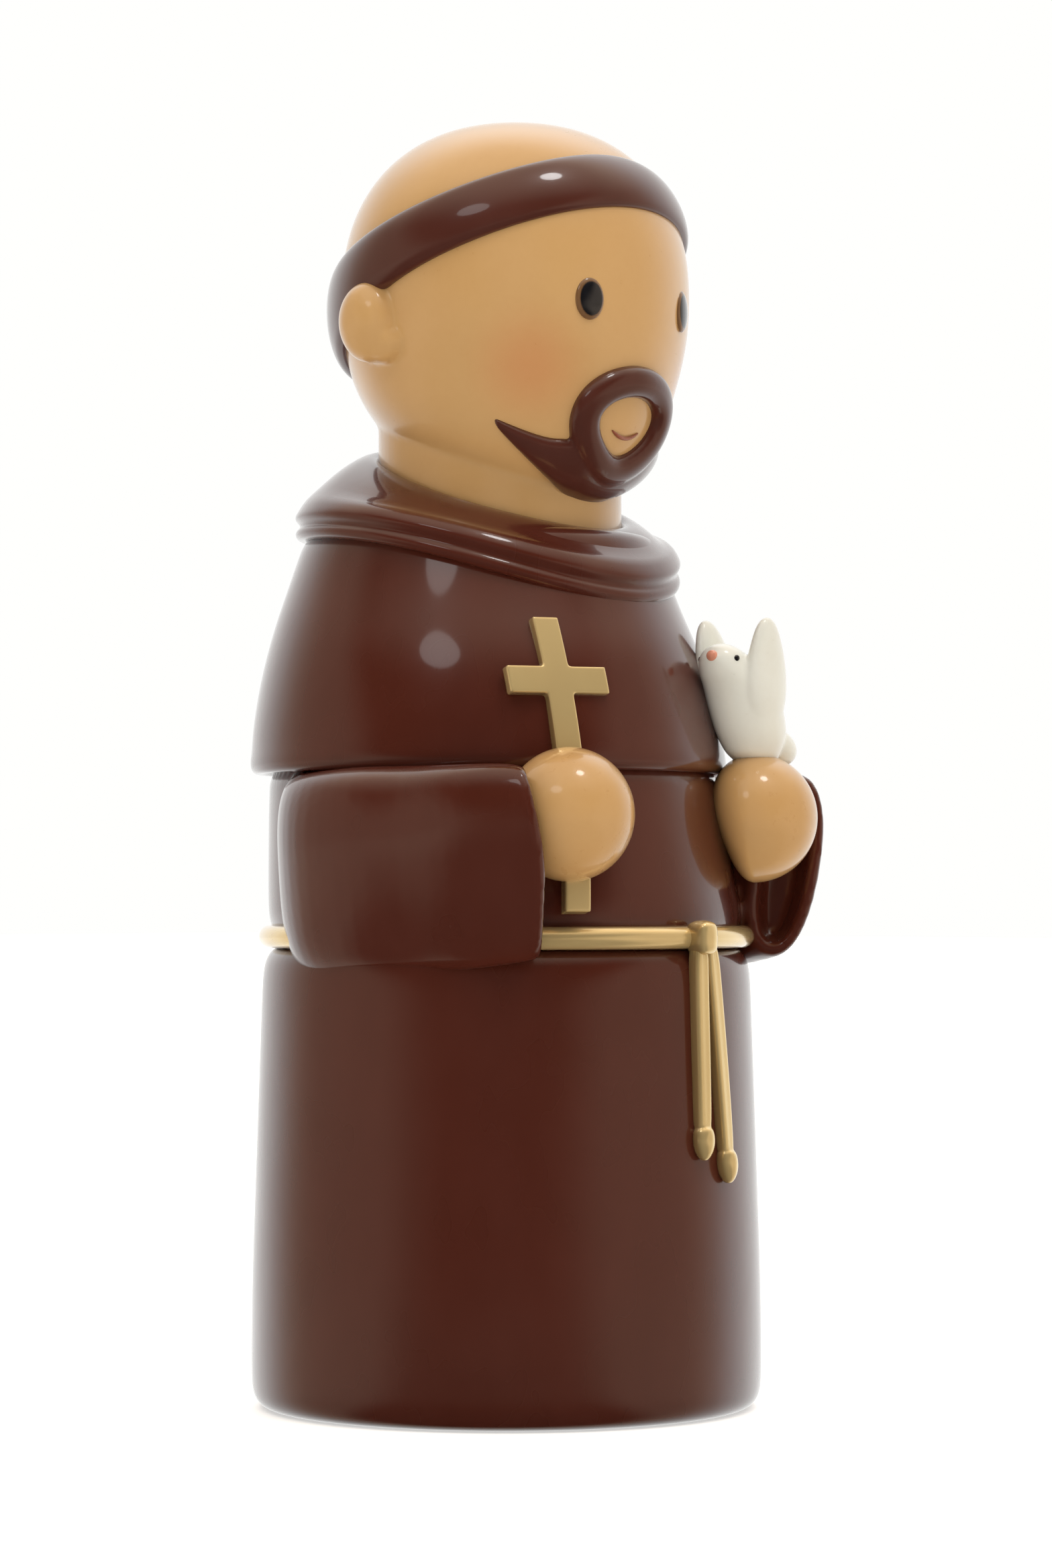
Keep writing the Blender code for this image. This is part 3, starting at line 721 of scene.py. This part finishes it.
class FIGURINE_OT_collar(FigurineOperator, bpy.types.Operator):
    """Thick tilted collar that droops in front, with a rounded lip over the cape."""

    bl_idname = "figurine.collar"
    bl_label = "Collar"

    def execute(self, context):
        sizes = self.sizes
        rim, wide = sizes.neck_radius + 0.4 * MM, sizes.collar_radius
        sections = []
        for turn in full_turn(96):
            low = sizes.cape_top + 0.2 * MM - 7.1 * MM * ((1 + cos(turn)) / 2) ** 3
            high = sizes.chin_level + 2.7 * MM - 0.36 * rim * cos(turn)
            lip = between(1.0, 1.12, ((1 + cos(turn)) / 2) ** 2) * MM
            profile = [
                (rim - 3 * MM, high - 6 * MM), (rim - 1.3 * MM, high - 2.2 * MM),
                (rim - 0.75 * MM, high - 0.9 * MM), (rim - 0.1 * MM, high - 0.3 * MM),
                (rim + 0.8 * MM, high - 0.32 * MM),
                (between(rim, wide, 0.32), between(high, low, 0.12)),
                (between(rim, wide, 0.52), between(high, low, 0.24)),
                (between(rim, wide, 0.72), between(high, low, 0.4)),
                (between(rim, wide, 0.88), between(high, low + 3.2 * lip, 0.8)),
                (wide - 0.1 * MM, low + 2.95 * lip), (wide + 0.12 * MM, low + 2.55 * lip),
                (wide + 0.04 * MM, low + 2.15 * lip), (wide - 0.26 * MM, low + 1.85 * lip),
                (wide - 0.36 * MM, low + 1.6 * lip), (wide - 0.3 * MM, low + 1.35 * lip),
                (wide - 0.04 * MM, low + 1.15 * lip), (wide + 0.08 * MM, low + 0.8 * lip),
                (wide - 0.02 * MM, low + 0.4 * lip), (wide - 0.35 * MM, low + 0.1 * lip),
                (wide - 1.0 * MM, low), (wide - 2.4 * MM, low - 0.02 * MM), (wide - 7 * MM, low - 1.5 * MM),
            ]
            section = []
            for radius, up in profile:
                share = min((radius - sizes.neck_radius) / (wide - sizes.neck_radius), 1)
                back = between(0.9 * MM, 2.56 * MM, share)
                section.append(place(radius * sin(turn), radius * cos(turn) - back, up))
            sections.append(section)
        collar = wrap_band("collar", sections)
        self.paint_habit(collar, 1)
        return {"FINISHED"}


class FIGURINE_OT_head(FigurineOperator, bpy.types.Operator):
    """Round head with its neck and ears, all one soft skin."""

    bl_idname = "figurine.head"
    bl_label = "Head"

    def execute(self, context):
        sizes = self.sizes
        rings = []
        for step in range(1, 32):
            share = (1 - cos(pi * step / 32)) / 2
            radius, front = head_size(sizes, share * sizes.head_height)
            rings.append(level_ring(radius, front, sizes.chin_level + share * sizes.head_height, 64))
        head = raise_solid("head", rings)
        subdivide(head, 1)
        neck_levels = (sizes.cape_top - 1 * MM, sizes.chin_level + 1 * MM, sizes.chin_level + 5 * MM,
                       sizes.chin_level + 9 * MM)
        neck = raise_solid("neck", [level_ring(sizes.neck_radius, -0.9 * MM, up, 64) for up in neck_levels])
        parts = [head, neck]
        level = sizes.chin_level + 0.457 * sizes.head_height
        for side in (-1, 1):
            centre = place(side * (sizes.head_radius - 0.1 * MM), -2.5 * MM, level)
            half = (2.75 * MM, 3.35 * MM, 4.05 * MM)
            parts.append(add_ball("ear", centre, half, (0, side * radians(4), 0)))
            lobe = centre + place(-side * 0.5 * MM, 1.5 * MM, -2.0 * MM)
            parts.append(add_ball("ear_lobe", lobe, (1.9 * MM, 2.7 * MM, 2.1 * MM)))
        whole = melt("head", parts, 0.3 * MM, 7)
        self.paint_skin(whole)
        return {"FINISHED"}


class FIGURINE_OT_hair(FigurineOperator, bpy.types.Operator):
    """Ring of hair round the bare crown, a smooth roll that dips to the nape."""

    bl_idname = "figurine.hair"
    bl_label = "Hair"

    def execute(self, context):
        sizes = self.sizes
        sections = []
        for turn in full_turn(96):
            front = sizes.head_radius * cos(turn) / sizes.head_height
            upper = 0.728 + 0.35 * front
            lower = 0.548 + between(0.48, 0.43, soft_step(0.5 + 2.2 * front)) * front
            sections.append(pad_section(sizes, turn, lower, upper, (1.42 - 0.37 * cos(turn)) * MM))
        hair = wrap_band("hair", sections)
        self.paint_hair(hair, 2)
        return {"FINISHED"}


class FIGURINE_OT_beard(FigurineOperator, bpy.types.Operator):
    """Moustache round the mouth, run into a beard that ends in a point along each jaw."""

    bl_idname = "figurine.beard"
    bl_label = "Beard"

    def execute(self, context):
        sizes = self.sizes
        mouth, rise, reach, tip = 0.198, 0.108, radians(22.5), radians(60)
        around, count = 64, 45
        middle = place(0, 1.2 * MM, sizes.chin_level + 0.3 * sizes.head_height)
        path = [on_head(sizes, reach * sin(turn), mouth + rise * cos(turn)) for turn in full_turn(around)]
        sections = []
        for i, point in enumerate(path):
            along = (path[(i + 1) % around] - path[i - 1]).normalized()
            out = (point - middle).normalized()
            across = along.cross(out).normalized()
            out = across.cross(along)
            section = []
            for angle in full_turn(16):
                wide, deep = rounded(angle, 1.65 * MM, 1.35 * MM, 0.9)
                section.append(point + across * wide + out * deep)
            sections.append(section)
        moustache = wrap_band("moustache", sections)
        subdivide(moustache, 1)
        rings = []
        for i in range(count):
            aside = 2 * i / (count - 1) - 1
            share, turn = abs(aside), tip * aside
            upper = 0.158 + 0.05 * (max(share - 0.6, 0) / 0.4) ** 1.5
            inside = abs(turn) / reach
            if inside < 1:
                upper = min(upper, mouth - rise * sqrt(1 - inside ** 2))
            lower = 0.016 + 0.172 * share ** 3.4
            rings.append(pad_section(sizes, turn, lower, upper, 1.3 * MM * (1 - 0.65 * share ** 6)))
        chin = raise_solid("chin_beard", rings)
        subdivide(chin, 1)
        beard = melt("beard", [chin, moustache], 0.17 * MM, 5)
        self.paint_hair(beard)
        return {"FINISHED"}


class FIGURINE_OT_face(FigurineOperator, bpy.types.Operator):
    """Two calm oval eyes on the halfway line and a small smile in the beard's opening."""

    bl_idname = "figurine.face"
    bl_label = "Eyes and Smile"

    def execute(self, context):
        sizes = self.sizes
        wide, high = 1.55 * MM, 2.1 * MM
        for name, side in (("eye_right", -1), ("eye_left", 1)):
            turn = side * radians(23.6)
            centre = on_head(sizes, turn, 0.5, -0.1 * MM)
            eye = add_ball(name, centre, (wide, 0.5 * MM, high), (0, 0, turn))
            rim = on_head(sizes, turn, 0.5)
            paint = get_finish("eye_paint", eye_paint, self.colours, rim, wide * cos(turn), high)
            finish(eye, paint, 1)
        rings = []
        count = 17
        for i in range(count):
            share = 2 * i / (count - 1) - 1
            centre = on_head(sizes, radians(8.5) * share, 0.166 + 0.017 * share * share, 0.02 * MM)
            thick = 0.3 * MM * (1 - 0.75 * share ** 4)
            ring = []
            for angle in full_turn(10):
                ring.append(centre + place(0, thick * cos(angle), thick * 0.8 * sin(angle)))
            rings.append(ring)
        smile = raise_solid("smile", rings)
        finish(smile, get_finish("lip_paint", dab, "lip_paint", self.colours.lips), 1)
        return {"FINISHED"}


class FIGURINE_OT_hands(FigurineOperator, bpy.types.Operator):
    """Round mitten hands, a little flat underneath."""

    bl_idname = "figurine.hands"
    bl_label = "Hands"

    def execute(self, context):
        sizes = self.sizes
        radius = sizes.hand_radius
        for name, side in (("hand_right", -1), ("hand_left", 1)):
            centre = place(side * HAND_ASIDE, HAND_FRONT, sizes.hem_level - HAND_DROP)
            hand = add_ball(name, centre, (radius, radius, radius * 1.02), across=64, rows=40)
            out = Vector((centre.x, centre.y, 0)).normalized()
            for vert in hand.data.vertices:
                offset = vert.co - centre
                reach = offset.dot(out)
                if reach < 0:
                    drop = min(max(0.5 - offset.z / (2 * radius), 0), 1)
                    vert.co -= out * reach * between(0.2, 0.54, soft_step(drop))
            self.paint_skin(hand, 1)
        return {"FINISHED"}


class FIGURINE_OT_cross(FigurineOperator, bpy.types.Operator):
    """Flat gold cross with soft edges, held in the right fist and bent back against the chest."""

    bl_idname = "figurine.cross"
    bl_label = "Cross"

    def execute(self, context):
        sizes = self.sizes
        high, wide, thick = sizes.cross_height, 2.7 * MM, 1.3 * MM
        bar = 0.78 * high
        arm = (sizes.cross_span - wide) / 2
        deselect_all()
        bpy.ops.mesh.primitive_cube_add(size=1, location=(0, 0, bar), scale=(wide, thick, wide))
        cross = bpy.context.active_object
        cross.name = "cross"
        bpy.ops.object.transform_apply(location=True, rotation=True, scale=True)
        bpy.ops.object.mode_set(mode="EDIT")
        self.extrude(cross, Vector((1, 0, 0)), [arm])
        self.extrude(cross, Vector((-1, 0, 0)), [arm])
        self.extrude(cross, Vector((0, 0, 1)), [high - bar - wide / 2])
        below = bar - wide / 2
        self.extrude(cross, Vector((0, 0, -1)), [below / 6] * 6)
        bpy.ops.mesh.select_all(action="SELECT")
        bpy.ops.object.mode_set(mode="OBJECT")
        cross = melt("cross", [cross], 0.13 * MM, 9)
        foot = place(-14.0 * MM, 21.6 * MM, sizes.hem_level - HAND_DROP - 9.5 * MM)
        rise = place(2.6 * MM, -6.6 * MM, high)
        across = place(cos(radians(24)), sin(radians(24)), 0)
        face = across.cross(rise.normalized())
        for vert in cross.data.vertices:
            share = vert.co.z / high
            bow = 4 * share * (1 - share) * 0.7 * MM
            vert.co = foot + rise * share + across * (vert.co.x + bow) + face * (bow - vert.co.y)
        self.gild(cross)
        return {"FINISHED"}

    def extrude(self, cross, way, lengths):
        """Extrudes the end face that looks this way, step by step."""
        bpy.ops.mesh.select_mode(type="FACE")
        bpy.ops.mesh.select_all(action="DESELECT")
        shape = bmesh.from_edit_mesh(cross.data)
        shape.normal_update()
        ends = [face for face in shape.faces if face.normal.dot(way) > 0.99]
        for face in ends:
            middle = face.calc_center_median()
            if abs(way.x) > 0.5 or abs(middle.x) < 0.1 * MM:
                face.select = True
        bmesh.update_edit_mesh(cross.data)
        for length in lengths:
            bpy.ops.mesh.extrude_region_move(TRANSFORM_OT_translate={"value": tuple(way * length)})


class FIGURINE_OT_belt(FigurineOperator, bpy.types.Operator):
    """Moulded cord belt with its knot and two hanging ends, painted gold."""

    bl_idname = "figurine.belt"
    bl_label = "Belt"

    def execute(self, context):
        sizes = self.sizes
        level = sizes.skirt_height + sizes.cord_radius
        deselect_all()
        bpy.ops.mesh.primitive_torus_add(
            major_segments=160, minor_segments=20, major_radius=sizes.torso_radius,
            minor_radius=sizes.cord_radius, location=(0, 0, level))
        belt = bpy.context.active_object
        belt.name = "belt"
        self.gild(belt, 1)
        deselect_all()
        middle = place(0.55 * MM, sizes.torso_radius + 1.35 * MM, level)
        bpy.ops.mesh.primitive_cube_add(size=1, location=middle, scale=(2.75 * MM, 3.0 * MM, 3.5 * MM))
        knot = bpy.context.active_object
        knot.name = "knot"
        bpy.ops.object.transform_apply(location=True, rotation=True, scale=True)
        bpy.ops.object.mode_set(mode="EDIT")
        bpy.ops.mesh.select_all(action="SELECT")
        bpy.ops.mesh.bevel(offset=0.95 * MM, segments=2, affect="EDGES")
        bpy.ops.object.mode_set(mode="OBJECT")
        self.gild(knot, 2)
        self.gild(self.hanging_end("cord_end_long", level, 1.7 * MM, 4.2 * MM, 24.25 * MM), 2)
        self.gild(self.hanging_end("cord_end_short", level, 0.25 * MM, 0.2 * MM, 21.85 * MM), 2)
        return {"FINISHED"}

    def hanging_end(self, name, level, start, tip, length):
        """A flattened cord that follows the skirt down to an acorn-shaped tip."""
        stem, drop = 0.94 * MM, 3.3 * MM
        neck = length - drop
        stations = [(0, 1.0, 0.9, 0.6), (0.2, 1.0, 0.9, 0.6), (0.5, 1.0, 0.9, 0.6), (0.8, 0.99, 0.88, 0.62)]
        stations = [(share * neck, wide, deep, square) for share, wide, deep, square in stations]
        stations += [(neck - 0.5 * MM, 0.97, 0.86, 0.7), (neck - 0.08 * MM, 0.93, 0.82, 0.8),
                     (neck + 0.12 * MM, 0.98, 0.9, 0.95), (neck + 0.4 * MM, 1.17, 1.08, 1.0),
                     (neck + 1.0 * MM, 1.28, 1.2, 1.0), (neck + 1.8 * MM, 1.25, 1.15, 1.0),
                     (neck + 2.5 * MM, 1.0, 0.95, 1.0), (neck + 3.05 * MM, 0.6, 0.6, 1.0),
                     (neck + 3.28 * MM, 0.22, 0.25, 1.0)]
        rings = []
        for down, wide, deep, square in stations:
            up = level - down
            radius = skirt_radius(self.sizes, up)
            side = between(start, tip, (down / length) ** 0.8)
            turn = side / radius
            reach = radius + 0.42 * stem
            if down > neck:
                reach += 0.12 * MM
            ring = []
            for angle in full_turn(20):
                across, out = rounded(angle, stem * wide, stem * deep, square)
                if down < neck and out > 0:
                    out -= 0.13 * MM * cos(pi * across / (2 * stem * wide)) ** 2
                ring.append(place((reach + out) * sin(turn) + across * cos(turn),
                                  (reach + out) * cos(turn) - across * sin(turn), up))
            rings.append(ring)
        return raise_solid(name, rings)


class FIGURINE_OT_dove(FigurineOperator, bpy.types.Operator):
    """Plump white dove on the left hand, with both wings up, a pink beak and dot eyes."""

    bl_idname = "figurine.dove"
    bl_label = "Dove"

    # Each station: share of the height, lean to the middle, half length and half width
    body = ((0.0, -0.2, 1.9, 1.8), (0.03, -0.2, 2.3, 2.15), (0.09, 0.15, 3.1, 2.55), (0.18, 0.3, 3.7, 3.0),
            (0.28, 0.6, 4.1, 3.3), (0.42, 1.2, 4.15, 3.5), (0.54, 1.75, 4.05, 3.6), (0.64, 2.7, 3.6, 3.35),
            (0.73, 3.7, 3.25, 3.05), (0.8, 4.25, 3.0, 2.85), (0.87, 4.65, 2.7, 2.55), (0.93, 4.95, 2.15, 2.0),
            (0.97, 5.15, 1.4, 1.35), (0.995, 5.25, 0.6, 0.6))
    # Each station: share of the wing's height, half length, half thickness
    blade = ((0.0, 1.5, 0.7), (0.09, 2.3, 1.1), (0.28, 2.9, 1.35), (0.48, 2.9, 1.32), (0.66, 2.5, 1.2),
             (0.8, 2.0, 1.0), (0.9, 1.5, 0.8), (0.965, 0.95, 0.55), (1.0, 0.35, 0.25))

    def execute(self, context):
        sizes = self.sizes
        high = sizes.dove_height
        perch = 0.86 * 6.35 * MM
        seat = place(HAND_ASIDE, HAND_FRONT, sizes.hem_level - HAND_DROP + perch)
        rings = []
        for share, lean, long, wide in run_through(self.body, 2):
            ring = []
            for angle in full_turn(48):
                aside = (long * cos(angle) - lean) * MM
                ring.append(seat + place(aside, wide * sin(angle) * MM, share * high))
            rings.append(ring)
        body = raise_solid("dove_body", rings)
        parts = [body, self.wing(seat, 1, 3.75, high), self.wing(seat, -1, 4.2, high)]
        parts.append(add_ball("tail", seat + place(3.5 * MM, 0, 0.15 * high), (2.8 * MM, 1.7 * MM, 1.85 * MM),
                              (0, radians(20), 0)))
        dove = melt("dove", parts, 0.15 * MM, 24)
        middle = seat + place(0, 0, 0.5 * high)
        finish(dove, get_finish("dove_enamel", dove_white, self.colours, middle))
        head = seat + place(-4.6 * MM, 0, 0.86 * high)
        tip = head + place(-2.5 * MM, 0.35 * MM, 0.35 * MM)
        beak = add_ball("beak", tip, (0.5 * MM, 0.62 * MM, 0.58 * MM), (0, 0, radians(8)))
        finish(beak, get_finish("beak_paint", dab, "beak_paint", self.colours.beak), 1)
        for name, side in (("dove_eye_front", 1), ("dove_eye_back", -1)):
            spot = head + place(-1.05 * MM, side * 2.36 * MM, 0.1 * MM)
            eye = add_ball(name, spot, (0.3 * MM, 0.22 * MM, 0.32 * MM), (0, 0, side * radians(-24)), 16, 10)
            finish(eye, get_finish("dot_paint", dab, "dot_paint", self.colours.eye), 1)
        return {"FINISHED"}

    def wing(self, seat, side, spread, high):
        """A raised wing: broad where it leaves the flank, rounded to a blunt tip."""
        rings = []
        for share, long, thick in run_through(self.blade, 2):
            rise = share ** 0.8
            lean, out = between(0.9, 2.6, rise), side * between(2.0, spread, rise)
            centre = seat + place(-lean * MM, out * MM, between(0.28, 1.215, share) * high)
            ring = []
            for angle in full_turn(32):
                ring.append(centre + place(long * cos(angle) * MM, thick * sin(angle) * MM, 0))
            rings.append(ring)
        return raise_solid("wing", rings)


class FIGURINE_OT_stage(FigurineOperator, bpy.types.Operator):
    """Pale floor, soft studio light and the camera at the photograph's angle."""

    bl_idname = "figurine.stage"
    bl_label = "Studio"

    def execute(self, context):
        self.add_floor()
        self.add_world(context.scene)
        self.add_lamps()
        self.add_camera(context.scene)
        context.scene.view_settings.view_transform = "Standard"
        return {"FINISHED"}

    def add_floor(self):
        """A white floor that the lacquer doesn't mirror, as a lit table fades out in front of a figure."""
        deselect_all()
        bpy.ops.mesh.primitive_plane_add(size=8)
        floor = bpy.context.active_object
        floor.name = "floor"
        paint = Finish("floor_white", Specular_IOR_Level=0.2, Emission_Strength=0.55)
        cloud = paint.noise(3, 2).ramp(-1.0, 1.0)
        paint.set("Base Color", paint.mix(cloud, shade(self.colours.floor, 0.985), self.colours.floor))
        paint.set("Roughness", cloud * 0.1 + 0.6)
        seen = paint.node("ShaderNodeLightPath").outputs["Is Camera Ray"]
        paint.set("Emission Color", paint.mix(seen, (0.0, 0.0, 0.0), (1.0, 1.0, 0.985)))
        floor.data.materials.append(paint.material)
        floor.visible_glossy = False

    def add_world(self, scene):
        """A pale room: white behind the figure, grey panels at its sides, dark where the camera stands."""
        world = bpy.data.worlds.new("studio")
        scene.world = world
        world.use_nodes = True
        room = Nodes(world.node_tree)
        background = world.node_tree.nodes["Background"]
        way = room.node("ShaderNodeTexCoord").outputs["Generated"]
        dark_side = (-0.8089, -0.5878, 0.0)
        forward = room.facing(way, dark_side)
        up = room.facing(way, (0.0, 0.0, 1.0))
        panels = (1 - (forward + abs(up) * 1.1).ramp(0.6, 1.0)) * 0.42
        behind = 1 - forward.ramp(-0.85, 0.0)
        table = (0 - up).ramp(0.02, 0.09) * (1 - (0 - up).ramp(0.12, 0.3)) * 0.1
        light = 0.01 + panels + behind * 0.6 + up.ramp(0.45, 1.0) * 1.05 + table
        seen = Value(room, room.node("ShaderNodeLightPath").outputs["Is Camera Ray"])
        light = light * (1 - seen) + seen
        white = (behind + seen).ramp(0.0, 0.9)
        room.tree.links.new(room.mix(white, (1.0, 0.82, 0.64), (1.0, 1.0, 0.985)), background.inputs["Color"])
        room.tree.links.new(light.socket, background.inputs["Strength"])

    def add_lamps(self):
        """A small lamp overhead, a soft one on the shoulders, and four broad ones that aren't mirrored."""
        target = Vector((0, 0, 0.075))
        # Each lamp: name, place, width, height, radiance, mirrored or not
        lamps = (("top_lamp", (-0.016, -0.233, 0.627), 0.11, 0.11, 12.0, True),
                 ("shoulder_lamp", self.spot(-26, 38, 0.6), 0.2, 0.13, 2.0, True),
                 ("left_panel", self.spot(-45, 52, 0.75), 0.5, 0.5, 1.15, False),
                 ("right_panel", self.spot(50, 48, 0.75), 0.5, 0.5, 1.4, False),
                 ("fill_panel", self.spot(0, 14, 0.75), 0.5, 0.5, 1.2, False),
                 ("crown_panel", self.spot(-60, 84, 0.75), 0.4, 0.4, 0.1, False))
        for name, spot, wide, high, radiance, mirrored in lamps:
            deselect_all()
            bpy.ops.object.light_add(type="AREA", location=spot)
            lamp = bpy.context.active_object
            lamp.name = name
            lamp.data.shape = "ELLIPSE"
            lamp.data.size = wide
            lamp.data.size_y = high
            lamp.data.energy = radiance * pi * pi * wide * high / 4
            lamp.rotation_euler = (target - Vector(spot)).to_track_quat("-Z", "Y").to_euler()
            lamp.visible_camera = False
            lamp.visible_glossy = mirrored

    def spot(self, aside, elevation, distance):
        """A place by its degrees to the camera's right, its degrees over the floor and its distance."""
        turn, rise = radians(aside - 90 - CAMERA_TURN), radians(elevation)
        return distance * cos(turn) * cos(rise), distance * sin(turn) * cos(rise), 0.08 + distance * sin(rise)

    def add_camera(self, scene):
        """A camera at the photograph's angle, aimed at the middle of the figure and slightly aside."""
        reach, height = 0.478, 0.052
        # Sine and cosine of its turn
        aside, ahead = 0.7431, 0.6691
        # Focal length, and how far the aim is turned up and aside, all in pixels of the photograph
        focal, aim_up, aim_aside = 7003, 161.5, 29
        deselect_all()
        bpy.ops.object.camera_add(location=(-reach * aside, -reach * ahead, height))
        camera = bpy.context.active_object
        camera.name = "camera"
        camera.data.sensor_width = 36
        camera.data.lens = 107.9
        camera.data.clip_start = 0.01
        turn = radians(-CAMERA_TURN) - atan(aim_aside / focal)
        camera.rotation_euler = (radians(90) + atan(aim_up / focal), 0, turn)
        scene.camera = camera


class FIGURINE_PT_panel(bpy.types.Panel):
    """Lists the figurine's sizes, colours and pieces."""

    bl_idname = "FIGURINE_PT_panel"
    bl_label = "Friar Figurine"
    bl_space_type = "VIEW_3D"
    bl_region_type = "UI"
    bl_category = "Figurine"

    def draw(self, context):
        for group in (context.scene.figurine_sizes, context.scene.figurine_colours):
            box = self.layout.box()
            for name in group.bl_rna.properties.keys():
                if name not in ("rna_type", "name"):
                    box.prop(group, name)
        for operator in PIECES:
            self.layout.operator(operator.bl_idname)


PIECES = (
    FIGURINE_OT_skirt, FIGURINE_OT_bodice, FIGURINE_OT_cape, FIGURINE_OT_collar, FIGURINE_OT_head,
    FIGURINE_OT_hair, FIGURINE_OT_beard, FIGURINE_OT_face, FIGURINE_OT_hands, FIGURINE_OT_cross,
    FIGURINE_OT_belt, FIGURINE_OT_dove, FIGURINE_OT_stage,
)
CLASSES = (FigurineSizes, FigurineColours, *PIECES, FIGURINE_PT_panel)


def register():
    for item in CLASSES:
        bpy.utils.register_class(item)
    bpy.types.Scene.figurine_sizes = bpy.props.PointerProperty(type=FigurineSizes)
    bpy.types.Scene.figurine_colours = bpy.props.PointerProperty(type=FigurineColours)


def unregister():
    del bpy.types.Scene.figurine_colours
    del bpy.types.Scene.figurine_sizes
    for item in reversed(CLASSES):
        bpy.utils.unregister_class(item)


def main():
    """Makes every piece in order."""
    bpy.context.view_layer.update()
    register()
    for operator in PIECES:
        group, name = operator.bl_idname.split(".")
        getattr(getattr(bpy.ops, group), name)()


if __name__ == "__main__":
    main()
